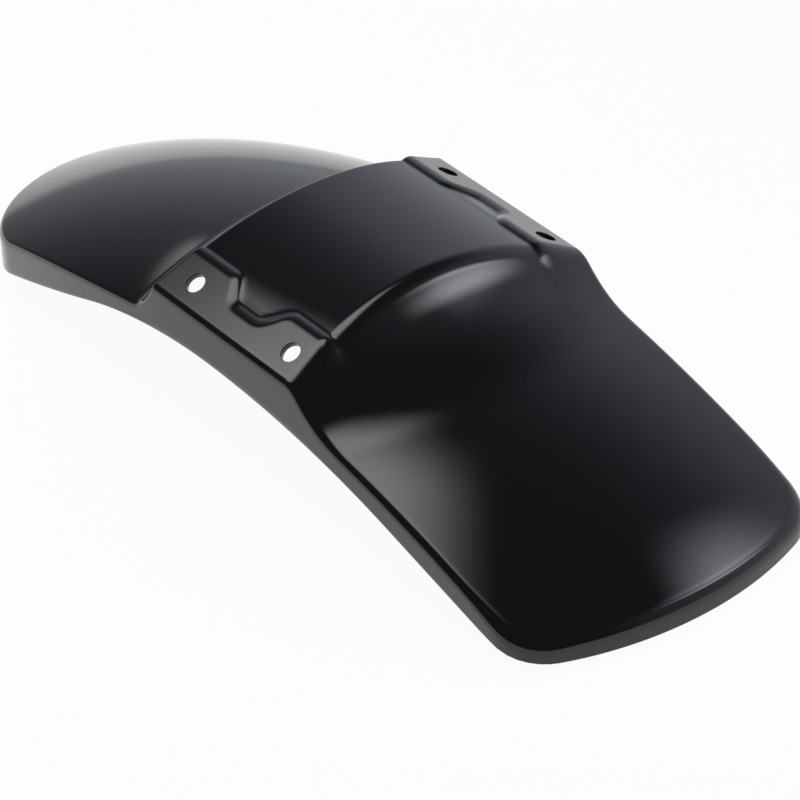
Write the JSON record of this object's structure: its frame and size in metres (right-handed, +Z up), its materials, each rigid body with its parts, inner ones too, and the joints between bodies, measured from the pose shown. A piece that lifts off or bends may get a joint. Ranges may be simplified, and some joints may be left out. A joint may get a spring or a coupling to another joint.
{
  "type": "motorcycle front fender",
  "caption": "Short one-piece moulded motorcycle front fender: domed rounded nose, raised saddle with tilted bolt pads, flat bowed tail and a flange all round.",
  "frame": {"origin": "on the ground under the middle of the fender, standing on the lower edges of its two ends", "axes": "+X from the rounded nose to the bowed tail, +Y across, +Z up"},
  "size_m": [0.4266, 0.145, 0.0898],
  "materials": {
    "gloss_black": "smooth high gloss"
  },
  "bodies": {
    "root": {"fender": "gloss_black"}
  },
  "joints": []
}
